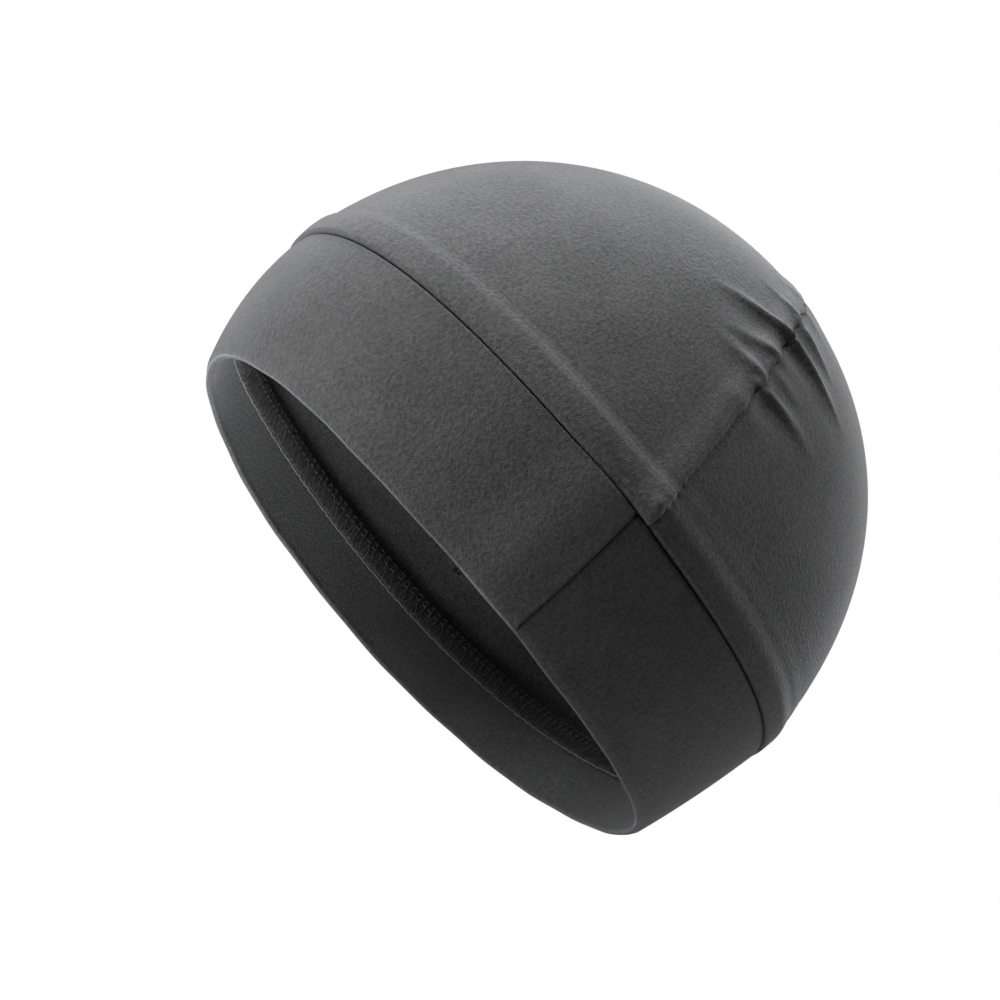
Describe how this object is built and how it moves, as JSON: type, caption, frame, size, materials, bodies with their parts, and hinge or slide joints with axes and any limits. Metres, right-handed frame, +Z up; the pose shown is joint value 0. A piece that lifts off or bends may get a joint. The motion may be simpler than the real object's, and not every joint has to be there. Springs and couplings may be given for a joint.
{
  "type": "helmet liner cap",
  "caption": "Close-fitting stretch knit cap with a gathered two-panel crown and a doubled band, worn alone or under a helmet.",
  "frame": {"origin": "inside of the crown at its highest point, where the cap rests on the top of a head", "axes": "+Z up the cap, -Y its front, +X the wearer's left; the rim lies level"},
  "size_m": [0.1644, 0.1967, 0.1484],
  "materials": {
    "crown_knit": "brushed stretch knit, matt, charcoal grey",
    "band_knit": "the same knit folded double, matt, charcoal grey",
    "overlocked_edge": "knit edge bound with matt overlock thread"
  },
  "bodies": {
    "root": {"crown_front_panel": "crown_knit", "crown_back_panel": "crown_knit", "band": "band_knit", "seam_allowance": "overlocked_edge"}
  },
  "joints": []
}
